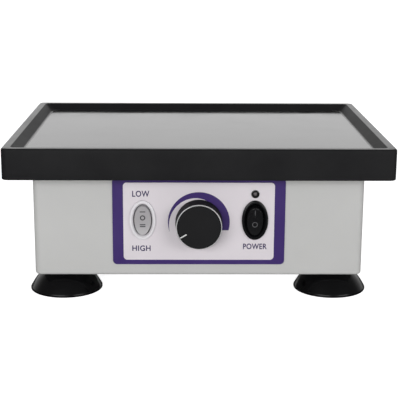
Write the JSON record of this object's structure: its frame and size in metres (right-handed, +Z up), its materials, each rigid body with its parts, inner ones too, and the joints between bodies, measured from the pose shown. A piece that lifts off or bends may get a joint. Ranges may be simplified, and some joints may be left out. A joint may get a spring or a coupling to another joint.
{
  "type": "laboratory vibrating table",
  "caption": "Bench vibrating table for plaster work: rimmed rubber tray on a spring-mounted plate, sheet-metal body, control panel and suction-cup feet.",
  "frame": {"origin": "on the bench, under the middle of the table", "axes": "+Z up, -Y towards the user and the control panel, +X to the user's right"},
  "size_m": [0.2666, 0.2066, 0.109],
  "materials": {
    "tray_rubber": "smooth moulded black rubber, glossy floor and satin skirt",
    "housing_paint": "satin light grey powder coat",
    "panel_purple": "purple enamel",
    "panel_label_film": "pale lilac-grey satin film",
    "plate_steel": "black primer on steel",
    "screw_steel": "zinc-plated steel",
    "dark_screw": "black oxide steel",
    "buffer_rubber": "black rubber",
    "post_steel": "turned steel",
    "weight_iron": "dark painted iron",
    "foot_rubber": "glossy black rubber",
    "core_steel": "laminated electrical steel",
    "bracket_steel": "zinc-plated steel",
    "armature_steel": "laminated electrical steel",
    "spacer_aluminium": "machined aluminium",
    "bobbin_nylon": "natural nylon",
    "winding_copper": null,
    "board_green": "green solder mask",
    "component_black": "black epoxy",
    "capacitor_yellow": "yellow film capacitor case",
    "capacitor_can": "sleeved aluminium can",
    "terminal_green": "green terminal block",
    "sink_aluminium": "extruded aluminium",
    "switch_grey": "light grey polished plastic",
    "rocker_grey": "light grey polished plastic",
    "switch_black": "black polished plastic",
    "rocker_black": "black polished plastic",
    "tag_brass": "tinned brass",
    "knob_black": "black anodised aluminium",
    "knob_polished": "polished cut edge",
    "knob_white": "white filled line",
    "knob_inner": "black plastic insert",
    "shaft_steel": "steel shaft",
    "bush_brass": "turned brass",
    "can_plated": "plated can",
    "lamp_black": "black polished plastic",
    "lamp_lens": "pale diffuse lens, unlit",
    "inlet_black": "black plastic",
    "fuse_glass": "glass tube with end caps"
  },
  "bodies": {
    "base": {"base_screws": "dark_screw", "base_weight": "weight_iron", "board_screws": "screw_steel", "board_standoffs": "bush_brass", "buffer_lower_discs": "screw_steel", "can_capacitor": "capacitor_can", "coil_bobbin": "bobbin_nylon", "coil_winding": "winding_copper", "control_board": "board_green", "control_bush": "bush_brass", "control_can": "can_plated", "control_nut": "screw_steel", "control_terminals": "tag_brass", "control_washer": "screw_steel", "core_bolts": "screw_steel", "film_capacitor": "capacitor_yellow", "foot_studs": "screw_steel", "heat_sink": "sink_aluminium", "housing": "housing_paint", "indicator_bezel": "lamp_black", "indicator_lamp": "lamp_lens", "inlet_housing": "inlet_black", "inlet_pins": "tag_brass", "inlet_screws": "dark_screw", "magnet_bracket": "bracket_steel", "magnet_core": "core_steel", "magnet_screws": "screw_steel", "mode_switch_body": "switch_grey", "mode_switch_terminals": "tag_brass", "panel_label": "panel_label_film", "panel_plate": "panel_purple", "power_switch_body": "switch_black", "power_switch_terminals": "tag_brass", "rubber_buffers": "buffer_rubber", "suction_foot_front_left": "foot_rubber", "suction_foot_front_right": "foot_rubber", "suction_foot_rear_left": "foot_rubber", "suction_foot_rear_right": "foot_rubber", "support_posts": "post_steel", "terminal_block": "terminal_green", "triac": "component_black"},
    "table": {"table_plate": "plate_steel", "buffer_screws": "screw_steel", "buffer_upper_discs": "screw_steel", "armature_spacer": "spacer_aluminium", "armature_block": "armature_steel", "armature_screws": "screw_steel"},
    "tray": {"tray_cover": "tray_rubber"},
    "mode_paddle": {"mode_rocker": "rocker_grey"},
    "power_paddle": {"power_rocker": "rocker_black"},
    "knob": {"control_shaft": "shaft_steel", "knob_shell": "knob_black", "knob_pointer": "knob_white", "knob_ring": "knob_polished", "knob_core": "knob_inner", "knob_grub_screw": "dark_screw"},
    "fuse_carrier": {"fuse_drawer": "inlet_black", "fuse": "fuse_glass"}
  },
  "joints": [
    {"name": "table_vibration", "type": "slide", "parent": "base", "child": "table", "axis": [0, 0, 1], "range_m": [-0.0005, 0.0005], "stiffness_N_per_m": 60000, "deforming": ["rubber_buffers"]},
    {"name": "tray_lift", "type": "slide", "parent": "table", "child": "tray", "axis": [0, 0, 1], "range_m": [0, 0.04]},
    {"name": "mode_rocker_tilt", "type": "hinge", "parent": "base", "child": "mode_paddle", "pos_m": [-0.039, -0.0839, 0.05565], "axis": [1, 0, 0], "range_deg": [-10, 10]},
    {"name": "power_rocker_tilt", "type": "hinge", "parent": "base", "child": "power_paddle", "pos_m": [0.039, -0.0839, 0.05565], "axis": [-1, 0, 0], "range_deg": [0, 20]},
    {"name": "speed_turn", "type": "hinge", "parent": "base", "child": "knob", "pos_m": [0, -0.0859, 0.054], "axis": [0, 1, 0], "range_deg": [-15, 255]},
    {"name": "fuse_drawer_slide", "type": "slide", "parent": "base", "child": "fuse_carrier", "axis": [0, 1, 0], "range_m": [0, 0.015]}
  ]
}
